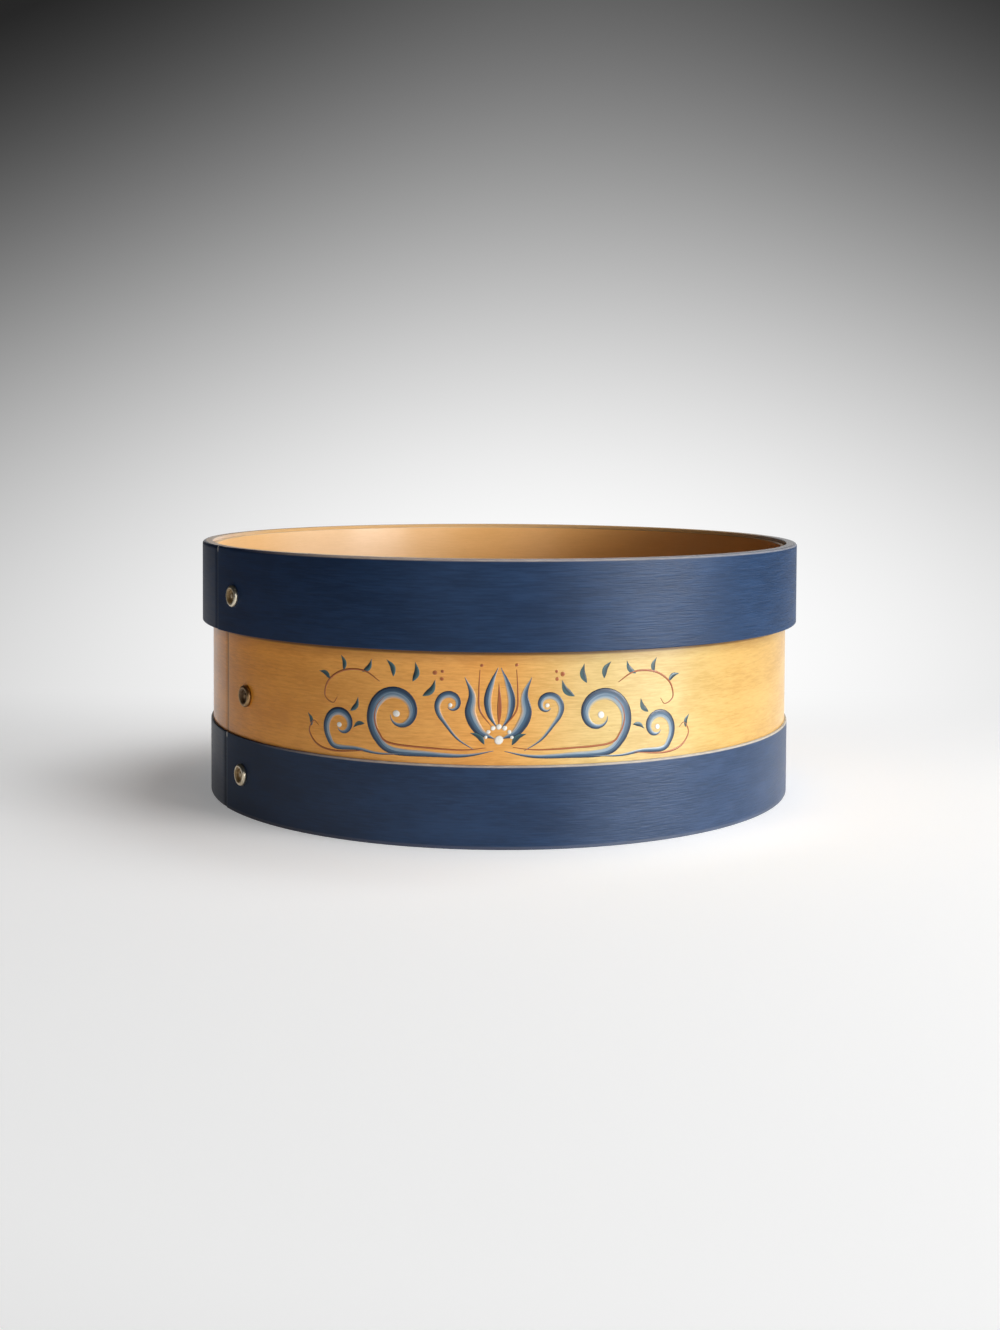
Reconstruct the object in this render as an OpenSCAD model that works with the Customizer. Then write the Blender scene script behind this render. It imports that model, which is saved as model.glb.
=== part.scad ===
// Round bentwood box, open at the top: a bent wall, a rim hoop, a base hoop and a pegged board.
// The origin is the middle of the footprint, +Z is up and the front faces -Y.
// Every band is one strip whose two ends are scarfed over each other and riveted beside the seam.

/* [Box] */
// Outside diameter over the rim hoop
box_d = 250; // [180:1:340]
// Overall height
box_h = 103; // [85:0.5:160]

/* [Wall] */
// Thickness of the wall strip
wall_t = 1.8; // [1.2:0.1:3]
// Step from the top of the rim hoop down to the top of the wall
wall_drop = 1.4; // [0:0.1:5]

/* [Rim hoop] */
// Thickness of the rim hoop
rim_t = 4.3; // [2.5:0.1:7]
// Height of the rim hoop
rim_h = 32.6; // [20:0.1:42]
// Rounding of the rim hoop's outer edges
rim_round = 1.2; // [0.3:0.1:2]

/* [Base hoop] */
// Thickness of the base hoop
hoop_t = 0.9; // [0.8:0.1:3]
// Height of the base hoop
hoop_h = 30; // [24:0.1:36]
// Rounding of the base hoop's outer edges
hoop_round = 0.3; // [0.1:0.1:0.6]

/* [Base board] */
// Thickness of the board
board_t = 7; // [4:0.5:10]
// Height of the board's underside above the foot
board_lift = 2.5; // [1:0.5:5]
// Bevel round the board's two edges
board_bevel = 0.6; // [0.2:0.1:1]

/* [Pegs] */
// Number of pegs round the board
peg_n = 12; // [6:1:20]
// Diameter of a peg
peg_d = 2.4; // [1.5:0.1:3]
// Length of a peg, from the outside of the wall inwards
peg_len = 16; // [10:1:30]

/* [Laps] */
// Direction of the seams, where the outer ends of the strips stop, from +X
seam_angle = 208.5; // [0:0.5:360]
// Length of the scarf, along the outside of the strip
lap_len = 60; // [40:1:80]
// Thickness of the strip's blunt ends
lap_edge = 0.3; // [0.2:0.05:0.35]
// Width of the glue line inside the scarf
lap_slit = 0.12; // [0.08:0.01:0.15]
// Width of the open seam at each blunt end
seam_gap = 0.4; // [0.2:0.1:0.8]

/* [Rivets] */
// Distance from the seam to the rim and base rivets, along the rim
hoop_rivet_setback = 15.5; // [12:0.5:25]
// Distance from the seam to the wall rivet, along the rim
wall_rivet_setback = 17.5; // [12:0.5:25]
// How far the rim rivet sits below the middle of the rim hoop
rim_rivet_low = 2; // [-4:0.1:4]
// How far the wall rivet sits below the middle of the bare wall
wall_rivet_low = 4; // [-6:0.1:6]
// How far the base rivet sits above the middle of the base hoop
base_rivet_high = 0.6; // [-2:0.1:2]
// Diameter of the rolled head
head_d = 8.4; // [7:0.1:9]
// Height of the rolled head
head_h = 1.6; // [1:0.1:2]
// Outside diameter of the tube
tube_d = 5.4; // [5:0.1:5.6]
// Diameter of the tube's bore
bore_d = 4.6; // [4.2:0.1:4.8]
// Depth of the bore below the head's seat
bore_deep = 1; // [0.5:0.1:1.4]
// Diameter of the stub left standing in the bore
stub_d = 2; // [1:0.1:3]
// Height of the stub
stub_h = 0.6; // [0.2:0.1:1]
// Diameter of the clinched end
clinch_d = 7.4; // [6.6:0.1:8]
// Height of the clinched end
clinch_h = 1; // [0.6:0.1:1.6]
// Diameter of the washer
washer_d = 10; // [8.5:0.1:12]
// Thickness of the washer
washer_t = 0.7; // [0.4:0.1:1.2]

/* [Fits] */
// Glue gap between two bands, and between the wall and the board
glue_gap = 0.1; // [0.05:0.01:0.2]
// Gap round a rivet or a peg, and under a rivet's head, washer and clinched end
fit_gap = 0.05; // [0.02:0.01:0.1]

/* [Hidden] */
$fn = 96;

honey = [0.80, 0.58, 0.29];
navy = [0.16, 0.24, 0.36];
pale_wood = [0.85, 0.70, 0.48];
brass = [0.78, 0.64, 0.36];

// Cutters reach this far past the faces that they cut
over = 1;

rim_r = box_d / 2;
wall_out_r = rim_r - rim_t - glue_gap;
wall_in_r = wall_out_r - wall_t;
wall_h = box_h - wall_drop;
rim_in_r = wall_out_r + glue_gap;
rim_z = box_h - rim_h;
hoop_in_r = wall_out_r + glue_gap;
hoop_r = hoop_in_r + hoop_t;
board_r = wall_in_r - glue_gap;
board_top = board_lift + board_t;
peg_z = board_lift + board_t / 2;

hoop_rivet_angle = seam_angle + arc_angle(hoop_rivet_setback, rim_r);
wall_rivet_angle = seam_angle + arc_angle(wall_rivet_setback, rim_r);
rim_rivet_z = rim_z + rim_h / 2 - rim_rivet_low;
wall_rivet_z = (hoop_h + rim_z) / 2 - wall_rivet_low;
base_rivet_z = max(hoop_h / 2 + base_rivet_high, board_top + washer_d / 2 + glue_gap);

// The washer's flat face touches the hollow wall at its edge, so it stands off by the arc's rise
washer_seat_r = sqrt(pow(wall_in_r, 2) - pow(washer_d / 2, 2)) - fit_gap;
clinch_seat_r = washer_seat_r - washer_t - fit_gap;

// Angle that an arc of the given length takes up at the given radius
function arc_angle(arc, radius) = arc / radius * 180 / PI;

// Places something along a radius: its own +Z points outwards and its origin is on the box's axis
module outwards(angle, height) {
    rotate([0, 0, angle])
        translate([0, 0, height])
            rotate([0, 90, 0])
                children();
}

// Outer corner of a band's section that is cut away to leave a quarter round
module corner_cut(edge_r, edge_z, radius) {
    translate([edge_r - radius, edge_z - radius])
        difference() {
            square(radius + over);
            circle(radius);
        }
}

// Plain ring of the given section, standing on z = 0, with rounded outer edges
module ring(in_r, out_r, height, radius) {
    rotate_extrude()
        difference() {
            translate([in_r, 0])
                square([out_r - in_r, height]);
            corner_cut(out_r, height, radius);
            mirror([0, 1])
                corner_cut(out_r, 0, radius);
        }
}

// Thin gap that turns a ring into a strip with scarfed ends.
// It opens at the seam on the outside, runs inwards along an off-centre arc and opens on the inside.
module scarf_cut(in_r, out_r, height) {
    span = arc_angle(lap_len, out_r);
    start_r = out_r - lap_edge;
    end_r = in_r + lap_edge;
    shift = (start_r - end_r) / (2 * sin(span / 2));
    arc_r = sqrt(pow(start_r, 2) + pow(shift, 2) - 2 * start_r * shift * sin(span / 2));
    reach = 2 * out_r;
    translate([0, 0, -over])
        rotate([0, 0, seam_angle]) {
            intersection() {
                rotate([0, 0, span / 2 - 90])
                    translate([shift, 0, 0])
                        difference() {
                            cylinder(r = arc_r + lap_slit / 2, h = height + 2 * over);
                            cylinder(r = arc_r - lap_slit / 2, h = height + 2 * over);
                        }
                linear_extrude(height + 2 * over)
                    polygon([[0, 0], [reach, 0], [reach * cos(span), reach * sin(span)]]);
            }
            translate([start_r - lap_slit / 2, -seam_gap / 2, 0])
                cube([lap_edge + lap_slit + over, seam_gap, height + 2 * over]);
            rotate([0, 0, span])
                translate([in_r - over, -seam_gap / 2, 0])
                    cube([lap_edge + lap_slit / 2 + over, seam_gap, height + 2 * over]);
        }
}

// Hole for a rivet's tube through everything on its line
module rivet_hole(angle, height) {
    outwards(angle, height)
        translate([0, 0, wall_in_r - wall_t])
            cylinder(d = tube_d + 2 * fit_gap, h = rim_r - wall_in_r + 2 * wall_t);
}

// The ring of peg lines round the board
module at_each_peg() {
    for (k = [0 : peg_n - 1])
        outwards((k + 0.5) * 360 / peg_n, peg_z)
            children();
}

// Tubular rivet with a rolled head on the outside and a clinched end on the inside
module rivet(angle, height, seat_r) {
    roll_r = (head_d - bore_d) / 4;
    color(brass)
        outwards(angle, height)
            difference() {
                union() {
                    translate([0, 0, seat_r + fit_gap])
                        rotate_extrude()
                            intersection() {
                                translate([bore_d / 2, 0])
                                    square([head_d / 2 - bore_d / 2, head_h]);
                                union() {
                                    translate([bore_d / 2 + roll_r, head_h - roll_r])
                                        circle(roll_r);
                                    square([head_d / 2, head_h - roll_r]);
                                }
                            }
                    translate([0, 0, clinch_seat_r])
                        cylinder(d = tube_d, h = seat_r + 2 * fit_gap - clinch_seat_r);
                    translate([0, 0, clinch_seat_r - clinch_h])
                        cylinder(d1 = tube_d, d2 = clinch_d, h = clinch_h);
                }
                translate([0, 0, seat_r - bore_deep])
                    difference() {
                        cylinder(d = bore_d, h = bore_deep + head_h + over);
                        cylinder(d = stub_d, h = stub_h);
                    }
            }
}

// Flat washer between the wall and a rivet's clinched end
module washer(angle, height) {
    color(brass)
        outwards(angle, height)
            translate([0, 0, washer_seat_r - washer_t])
                difference() {
                    cylinder(d = washer_d, h = washer_t);
                    translate([0, 0, -over])
                        cylinder(d = tube_d + 2 * fit_gap, h = washer_t + 2 * over);
                }
}

module wall_band() {
    color(honey)
        difference() {
            ring(wall_in_r, wall_out_r, wall_h, lap_edge);
            scarf_cut(wall_in_r, wall_out_r, wall_h);
            rivet_hole(hoop_rivet_angle, rim_rivet_z);
            rivet_hole(wall_rivet_angle, wall_rivet_z);
            rivet_hole(hoop_rivet_angle, base_rivet_z);
            at_each_peg()
                translate([0, 0, wall_in_r - over])
                    cylinder(d = peg_d + 2 * fit_gap, h = wall_t + 2 * over);
        }
}

module rim_hoop() {
    color(navy)
        difference() {
            translate([0, 0, rim_z])
                ring(rim_in_r, rim_r, rim_h, rim_round);
            translate([0, 0, rim_z])
                scarf_cut(rim_in_r, rim_r, rim_h);
            rivet_hole(hoop_rivet_angle, rim_rivet_z);
        }
}

module base_hoop() {
    color(navy)
        difference() {
            ring(hoop_in_r, hoop_r, hoop_h, hoop_round);
            scarf_cut(hoop_in_r, hoop_r, hoop_h);
            rivet_hole(hoop_rivet_angle, base_rivet_z);
        }
}

module base_board() {
    color(pale_wood)
        difference() {
            translate([0, 0, board_lift]) {
                cylinder(r1 = board_r - board_bevel, r2 = board_r, h = board_bevel);
                translate([0, 0, board_bevel])
                    cylinder(r = board_r, h = board_t - 2 * board_bevel);
                translate([0, 0, board_t - board_bevel])
                    cylinder(r1 = board_r, r2 = board_r - board_bevel, h = board_bevel);
            }
            at_each_peg()
                translate([0, 0, wall_out_r - peg_len - fit_gap])
                    cylinder(d = peg_d + 2 * fit_gap, h = peg_len);
        }
}

module base_pegs() {
    color(pale_wood)
        at_each_peg()
            translate([0, 0, wall_out_r - peg_len])
                cylinder(d = peg_d, h = peg_len - fit_gap);
}

module rim_rivet() {
    rivet(hoop_rivet_angle, rim_rivet_z, rim_r);
}

module wall_rivet() {
    rivet(wall_rivet_angle, wall_rivet_z, wall_out_r);
}

module base_rivet() {
    rivet(hoop_rivet_angle, base_rivet_z, hoop_r);
}

module rim_washer() {
    washer(hoop_rivet_angle, rim_rivet_z);
}

module wall_washer() {
    washer(wall_rivet_angle, wall_rivet_z);
}

module base_washer() {
    washer(hoop_rivet_angle, base_rivet_z);
}

wall_band();
rim_hoop();
base_hoop();
base_board();
base_pegs();
rim_rivet();
wall_rivet();
base_rivet();
rim_washer();
wall_washer();
base_washer();
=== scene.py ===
import cmath
import math
import random

import bmesh
import bpy
from mathutils import Matrix, Vector


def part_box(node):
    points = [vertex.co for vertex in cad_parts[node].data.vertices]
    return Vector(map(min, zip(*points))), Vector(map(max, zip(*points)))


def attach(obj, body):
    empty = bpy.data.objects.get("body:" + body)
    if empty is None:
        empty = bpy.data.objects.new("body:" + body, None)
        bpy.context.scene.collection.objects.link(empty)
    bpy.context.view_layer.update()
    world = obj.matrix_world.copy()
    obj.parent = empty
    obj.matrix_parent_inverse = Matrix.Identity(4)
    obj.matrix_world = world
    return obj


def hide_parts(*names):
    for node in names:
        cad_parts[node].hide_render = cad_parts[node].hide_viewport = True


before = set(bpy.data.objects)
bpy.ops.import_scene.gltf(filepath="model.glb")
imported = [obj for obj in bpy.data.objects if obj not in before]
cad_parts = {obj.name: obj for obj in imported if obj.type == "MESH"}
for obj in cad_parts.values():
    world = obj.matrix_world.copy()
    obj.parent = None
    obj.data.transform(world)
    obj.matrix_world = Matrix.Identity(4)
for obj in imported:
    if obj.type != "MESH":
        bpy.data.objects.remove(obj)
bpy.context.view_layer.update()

BODY = "root"
MM = 0.001


# Sizes of the box, in metres

def half_width(node):
    """Outer radius of a round CAD node."""
    low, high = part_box(node)
    return (high.x - low.x) / 2


def heights(node):
    """Lowest and highest z of a CAD node."""
    low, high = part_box(node)
    return low.z, high.z


RIM_R = half_width("rim_hoop")
WALL_R = half_width("wall_band")
BASE_R = half_width("base_hoop")
GLUE_GAP = 0.1 * MM
WALL_IN_R = half_width("base_board") + GLUE_GAP
HOOP_IN_R = WALL_R + GLUE_GAP
RIM_LOW, RIM_HIGH = heights("rim_hoop")
WALL_LOW, WALL_HIGH = heights("wall_band")
BASE_LOW, BASE_HIGH = heights("base_hoop")

SEAM = math.radians(208.5)
LAP = 60 * MM
HOOP_RIVET_TURN = SEAM + 15.5 * MM / RIM_R
WALL_RIVET_TURN = SEAM + 17.5 * MM / RIM_R
FRONT = math.radians(270)


# Meshes

def new_piece(name, mesh, material, slot, *nodes):
    """Puts a mesh in the scene as a piece that rides on the box and may stand for CAD nodes."""
    piece = bpy.data.objects.new(name, mesh)
    bpy.context.scene.collection.objects.link(piece)
    mesh.materials.append(material)
    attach(piece, BODY)
    if nodes:
        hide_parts(*nodes)


def smooth_mesh(name, points, faces, **attributes):
    """Mesh with smooth shading, outward normals and a float attribute for each named list."""
    mesh = bpy.data.meshes.new(name)
    mesh.from_pydata(points, [], faces)
    shell = bmesh.new()
    shell.from_mesh(mesh)
    bmesh.ops.recalc_face_normals(shell, faces=shell.faces)
    shell.to_mesh(mesh)
    shell.free()
    mesh.shade_smooth()
    for key, values in attributes.items():
        mesh.attributes.new(key, "FLOAT", "POINT").data.foreach_set("value", values)
    return mesh


def polar(radius, turn, height):
    return radius * math.cos(turn), radius * math.sin(turn), height


# Bent bands

ARC_STEPS = 6
ROUND_SHARE = 0.9
HOLD = 0.35 * MM
HOLD_SHARE = 0.04
TURN_STEP = math.radians(1)
END_STEPS = [step * MM for step in (0, 0.05, 0.11, 0.18, 0.26, 0.4, 0.7, 1.1, 1.6, 2.4, 3.6)]
END_ROUND = 0.26 * MM
INNER_EDGE = 0.3 * MM
SLIT = 0.04 * MM
GROOVE = 2.4 * MM
# Width over which grime and painted shade gather in the open seam.
SEAM_GRIME_AND_SHADE_WIDTH = 1.5 * MM
LIP = 1.5 * MM


def fade(value):
    """Smooth step from 0 to 1."""
    value = min(max(value, 0), 1)
    return value * value * (3 - 2 * value)


def rounded_section(inner, outer, low, high, rounds):
    """Outline of a strip as radius and height. Its rounds are for the low inside, low outside, high outside
    and high inside corners."""
    thick = outer - inner
    fit = min(1, ROUND_SHARE * thick / max(rounds[0] + rounds[1], rounds[2] + rounds[3]))
    corners = [(inner, low, 1, 1), (outer, low, -1, 1), (outer, high, -1, -1), (inner, high, 1, -1)]
    outline = []
    hold_r = min(HOLD, HOLD_SHARE * thick)
    for index, (r, z, r_in, z_in) in enumerate(corners):
        round_r = fit * rounds[index]
        middle_r, middle_z = r + r_in * round_r, z + z_in * round_r
        start = math.pi + index * math.pi / 2
        arc = []
        for step in range(ARC_STEPS + 1):
            way = start + step / ARC_STEPS * math.pi / 2
            arc.append((middle_r + round_r * math.cos(way), middle_z + round_r * math.sin(way)))
        upright = (r, z + z_in * (round_r + HOLD))
        level = (r + r_in * (round_r + hold_r), z)
        outline += [upright, *arc, level] if index % 2 == 0 else [level, *arc, upright]
    return outline


def lap_stations(span, radius):
    """Turns from the outer end to the inner end of a band, close together where an end shapes it."""
    last = 2 * math.pi + span
    stations = [index * TURN_STEP for index in range(int(last / TURN_STEP) + 1)]
    for end, side in ((0, 1), (2 * math.pi, -1), (2 * math.pi, 1), (last, -1)):
        fine = [end + side * step / radius for step in END_STEPS]
        stations = [turn for turn in stations if abs(turn - end) > END_STEPS[-1] / radius]
        stations += fine
    return sorted(set(round(turn, 7) for turn in stations))


def lap_radii(turn, span, inner, outer, proud, edge):
    """Inner and outer radius of a band at a turn past its outer end. After a full turn it is scarfed under
    that end."""
    end_floor = outer + proud - edge
    scarf_drop = end_floor - inner - INNER_EDGE
    past = turn - 2 * math.pi
    if past >= 0:
        return inner, end_floor - scarf_drop * past / span - SLIT
    dip = fade(1 + past * outer / GROOVE)
    top = outer - dip * (outer - end_floor + SLIT)
    if turn > span:
        step_up = INNER_EDGE * fade(1 - (turn - span) * outer / LAP)
        return inner + step_up, top
    way = turn / span
    from_end = turn * outer
    if from_end < END_ROUND:
        top -= END_ROUND - math.sqrt(END_ROUND ** 2 - (END_ROUND - from_end) ** 2)
    return end_floor - scarf_drop * way, top + proud * (1 - way) ** 2


def lapped_band(name, inner, outer, low, high, rounds, proud, edge):
    """One strip bent round the axis, its ends scarfed over each other at the seam. Its groove attribute is 1
    outside in the open seam, and its lip attribute is 1 on the end that stands over it."""
    span = LAP / outer
    points, groove, lip = [], [], []
    stations = lap_stations(span, outer)
    for turn in stations:
        r_in, r_out = lap_radii(turn, span, inner, outer, proud, edge)
        section = rounded_section(r_in, r_out, low, high, rounds)
        points += [polar(radius, SEAM + turn, z) for radius, z in section]
        # Grime and painted shade gather in the open seam.
        seam_grime_and_shade = fade(1 - abs(turn - 2 * math.pi) * outer / SEAM_GRIME_AND_SHADE_WIDTH)
        groove += [seam_grime_and_shade if radius > (inner + outer) / 2 else 0.0 for radius, z in section]
        lip += [fade(1 - turn * outer / LIP)] * len(section)
    size = len(section)
    faces = [tuple(range(size)), tuple(range(len(points) - size, len(points)))]
    for ring in range(len(stations) - 1):
        for index in range(size):
            after = (index + 1) % size
            a, b = ring * size + index, ring * size + after
            faces.append((a, b, b + size, a + size))
    return smooth_mesh(name, points, faces, groove=groove, lip=lip)


# Rivets

RIVET_SIDES = 56
HEAD_R = 4.2 * MM
HEAD_H = 1.6 * MM
HEAD_SINK = 0.08 * MM
BORE_R = 2.3 * MM
CUP_FLOOR = 0.25 * MM
STUB_R = 1.0 * MM
STUB_H = 0.55 * MM
SHANK_R = 2.65 * MM
WASHER_T = 0.7 * MM
CLINCH_R = 3.6 * MM
CLINCH_H = 0.95 * MM
CLINCH_HOLE_R = 1.7 * MM
STUB_ROUND = 0.3 * MM
STUB_FILLET = 0.25 * MM
CUP_FILLET = 0.3 * MM
CLINCH_FLOOR = 0.2 * MM
CLINCH_FLOOR_ROUND = (0.4 * MM, 0.3 * MM)
TARNISH_R = BORE_R + 0.9 * MM
TARNISH_FADE = 0.35 * MM
RUBBED_STUB_R = 0.95 * MM
RUBBED_STUB_FADE = 0.25 * MM
RUBBED_STUB = 0.6


def arc_points(centre, radii, start, end, steps):
    """Points of an elliptic arc, angles in degrees."""
    points = []
    for step in range(steps + 1):
        way = math.radians(start + (end - start) * step / steps)
        points.append((centre[0] + radii[0] * math.cos(way), centre[1] + radii[1] * math.sin(way)))
    return points


def rivet_profile(seat):
    """Half section of a tubular rivet from its outer middle to its inner middle, as radius and place on its
    axis."""
    floor = seat + CUP_FLOOR
    lip = (HEAD_R - BORE_R) / 2
    crest = seat - HEAD_SINK + HEAD_H - lip
    inside = WALL_IN_R - WASHER_T
    roll = (CLINCH_R - CLINCH_HOLE_R) / 2
    profile = [(0, floor + STUB_H)]
    stub_middle = (STUB_R - STUB_ROUND, floor + STUB_H - STUB_ROUND)
    profile += arc_points(stub_middle, (STUB_ROUND, STUB_ROUND), 90, 0, 4)
    fillet_middle = (STUB_R + STUB_FILLET, floor + STUB_FILLET)
    profile += arc_points(fillet_middle, (STUB_FILLET, STUB_FILLET), 180, 270, 4)
    fillet_middle = (BORE_R - CUP_FILLET, floor + CUP_FILLET)
    profile += arc_points(fillet_middle, (CUP_FILLET, CUP_FILLET), 270, 360, 4)
    profile += arc_points((BORE_R + lip, crest), (lip, lip), 180, 0, 16)
    profile += [(HEAD_R, seat - HEAD_SINK), (SHANK_R, seat - HEAD_SINK), (SHANK_R, inside)]
    profile += [(CLINCH_R, inside)]
    profile += arc_points((CLINCH_R - roll, inside - CLINCH_H + roll), (roll, roll), 0, -180, 14)
    hole_end = inside + CLINCH_FLOOR
    floor_middle = (CLINCH_HOLE_R - CLINCH_FLOOR_ROUND[0], hole_end - CLINCH_FLOOR_ROUND[1])
    profile += arc_points(floor_middle, CLINCH_FLOOR_ROUND, 0, 90, 4)
    profile += [(0, hole_end)]
    return profile


def cup_tarnish(seat, radius, place):
    """1 in a rivet's cup, less on the stub in its middle, 0 on its lip and inside the box."""
    if place < seat - HEAD_SINK:
        return 0.0
    stub = fade((RUBBED_STUB_R - radius) / RUBBED_STUB_FADE)
    return fade((TARNISH_R - radius) / TARNISH_FADE) * (1 - RUBBED_STUB * stub)


def rivet_mesh(name, seat, turn, height):
    """Rivet turned about a line from the box's axis outwards. Its recess attribute is the tarnish of its
    cup."""
    profile = rivet_profile(seat)
    outward = Vector(polar(1, turn, 0))
    sideways = Vector(polar(1, turn + math.pi / 2, 0))
    up = Vector((0, 0, 1))
    middle = Vector((0, 0, height))
    points, recess, rings, faces = [], [], [], []
    for radius, place in profile:
        sides = 1 if radius == 0 else RIVET_SIDES
        rings.append([len(points) + side for side in range(sides)])
        for side in range(sides):
            way = 2 * math.pi * side / RIVET_SIDES
            spoke = sideways * math.cos(way) + up * math.sin(way)
            points.append(middle + outward * place + radius * spoke)
            recess.append(cup_tarnish(seat, radius, place))
    for ring, after in zip(rings, rings[1:]):
        for side in range(RIVET_SIDES):
            following = (side + 1) % RIVET_SIDES
            a, b = ring[side % len(ring)], ring[following % len(ring)]
            c, d = after[following % len(after)], after[side % len(after)]
            faces.append(tuple(dict.fromkeys((a, b, c, d))))
    return smooth_mesh(name, points, faces, recess=recess)


# Ornament on the front of the wall. Its points are complex numbers in millimetres: arc to the right of the
# middle and height.

CURVE_STEPS = 8
STROKE_ACROSS = 6
PAINT_SINK = 0.12 * MM
EDGE_SINK = 0.02 * MM
DOT_SIDES = 18
DOT_RINGS = 5
HAND_SEED = 5


def smooth_curve(knots):
    """Points of a smooth curve through the knots."""
    chain = [2 * knots[0] - knots[1], *knots, 2 * knots[-1] - knots[-2]]
    points = []
    for before, start, end, after in zip(chain, chain[1:], chain[2:], chain[3:]):
        cubic = (after - before) / 2 + 1.5 * (start - end)
        square = before - 2.5 * start + 2 * end - after / 2
        for step in range(CURVE_STEPS):
            t = step / CURVE_STEPS
            points.append(start + t * ((end - before) / 2 + t * (square + t * cubic)))
    return points + [knots[-1]]


def volute(centre, start_r, end_r, start, sweep):
    """Knots along a spiral, angles in degrees."""
    count = round(abs(sweep) / 30)
    knots = []
    for knot in range(count + 1):
        way = knot / count
        radius = start_r * (end_r / start_r) ** way
        knots.append(centre + cmath.rect(radius, math.radians(start + sweep * way)))
    return knots


def leaf(base, angle, length, bend=0.16):
    """Knots of a bent leaf."""
    along = cmath.rect(length, math.radians(angle))
    return [base, base + along * (0.5 + bend * 1j), base + along]


def stroke_width(way, thick, peak, tip):
    """Width of a brush stroke: thin at its ends, thick at its peak."""
    swell = math.sin(math.pi * way ** (math.log(0.5) / math.log(peak)))
    return tip + (thick - tip) * swell ** 1.2


def on_wall(point, lift):
    """Place of an ornament point on the wall's outside, lifted off the wood."""
    return polar(WALL_R + lift, FRONT + point.real * MM / WALL_R, point.imag * MM)


class Relief:
    """Closed shells of one paint on the wall. Their attributes run across and along each stroke."""

    def __init__(self, rise):
        self.rise = rise * MM
        self.points, self.faces, self.across, self.along = [], [], [], []

    def add_point(self, point, lift, across, along):
        self.points.append(on_wall(point, lift))
        self.across.append(across)
        self.along.append(along)

    def add_rings(self, first, size, count):
        """Faces between rings of points, with both ends closed."""
        for ring in range(first, first + size * (count - 1), size):
            for index in range(size):
                after = (index + 1) % size
                self.faces.append((ring + index, ring + after, ring + size + after, ring + size + index))
        last = first + size * (count - 1)
        self.faces += [tuple(range(first, first + size)), tuple(range(last, last + size))]

    def stroke(self, knots, thick, peak=0.5, tip=0.22, dark=-1):
        """Crowned brush stroke along the knots. Its dark edge is to the left (1) or the right (-1) of its
        run."""
        line = smooth_curve(knots)
        last = len(line) - 1
        first = len(self.points)
        travelled = 0
        for index, point in enumerate(line):
            run = line[min(index + 1, last)] - line[max(index - 1, 0)]
            travelled += abs(point - line[max(index - 1, 0)])
            half = run / abs(run) * 1j * dark * stroke_width(index / last, thick, peak, tip) / 2
            for step in range(STROKE_ACROSS + 1):
                across = step / STROKE_ACROSS
                lift = self.rise * math.sqrt(max(math.sin(math.pi * across), 0)) - EDGE_SINK
                self.add_point(point + half * (1 - 2 * across), lift, across, travelled)
            self.add_point(point - half, -PAINT_SINK, 1, travelled)
            self.add_point(point + half, -PAINT_SINK, 0, travelled)
        self.add_rings(first, STROKE_ACROSS + 3, last + 1)

    def dot(self, middle, radius):
        """Drop of paint with a slightly uneven outline."""
        first = len(self.points)
        rings = [(1, -PAINT_SINK)]
        rings += [(out, up * self.rise) for out, up in arc_points((0, 0), (1, 1), 0, 75, DOT_RINGS)]
        for out, lift in rings:
            for side in range(DOT_SIDES):
                way = 2 * math.pi * side / DOT_SIDES
                uneven = 1 + 0.05 * math.sin(2 * way + 3 * middle.real)
                self.add_point(middle + cmath.rect(out * radius * uneven, way), lift, out, middle.real)
        self.add_rings(first, DOT_SIDES, len(rings))

    def mesh(self, name):
        return smooth_mesh(name, self.points, self.faces, across=self.across, along=self.along)


def mirrored(knots, hand):
    """The same knots on the left of the front, a little off as a hand would set them."""
    shift = complex(hand.uniform(-0.5, 0.5), hand.uniform(-0.3, 0.3))
    return [-knot.conjugate() + shift for knot in knots]


def paint_scrolls(scrolls, hand):
    """Blue scrolls along the foot of the wall and the petals of the middle flower."""
    plan = [
        ([2 + 34.9j, 12 + 33.1j, 25 + 33.2j] + volute(36.5 + 47.0j, 13.4, 3.0, -80, 430), 4.6, 0.42),
        ([33 + 32.7j, 44 + 32.2j, 53 + 33.3j] + volute(59.5 + 41.3j, 8.4, 2.0, -72, 400), 3.4, 0.45),
        ([9 + 35.1j, 15 + 39.0j, 19.5 + 44.5j] + volute(17.2 + 51.0j, 5.6, 1.5, -40, 360), 2.7, 0.42),
        ([1 + 39.3j, 6.4 + 42.1j, 9.6 + 48.1j, 9 + 54.9j, 11.6 + 61.1j], 4.4, 0.45),
        ([0.9 + 43.0j, 3.6 + 47.5j, 4.4 + 53.0j, 3 + 58.9j, 0.7 + 64.5j], 3.0, 0.5),
    ]
    for knots, thick, peak in plan:
        scrolls.stroke(knots, thick, peak)
        scrolls.stroke(mirrored(knots, hand), thick, peak, dark=1)


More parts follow.
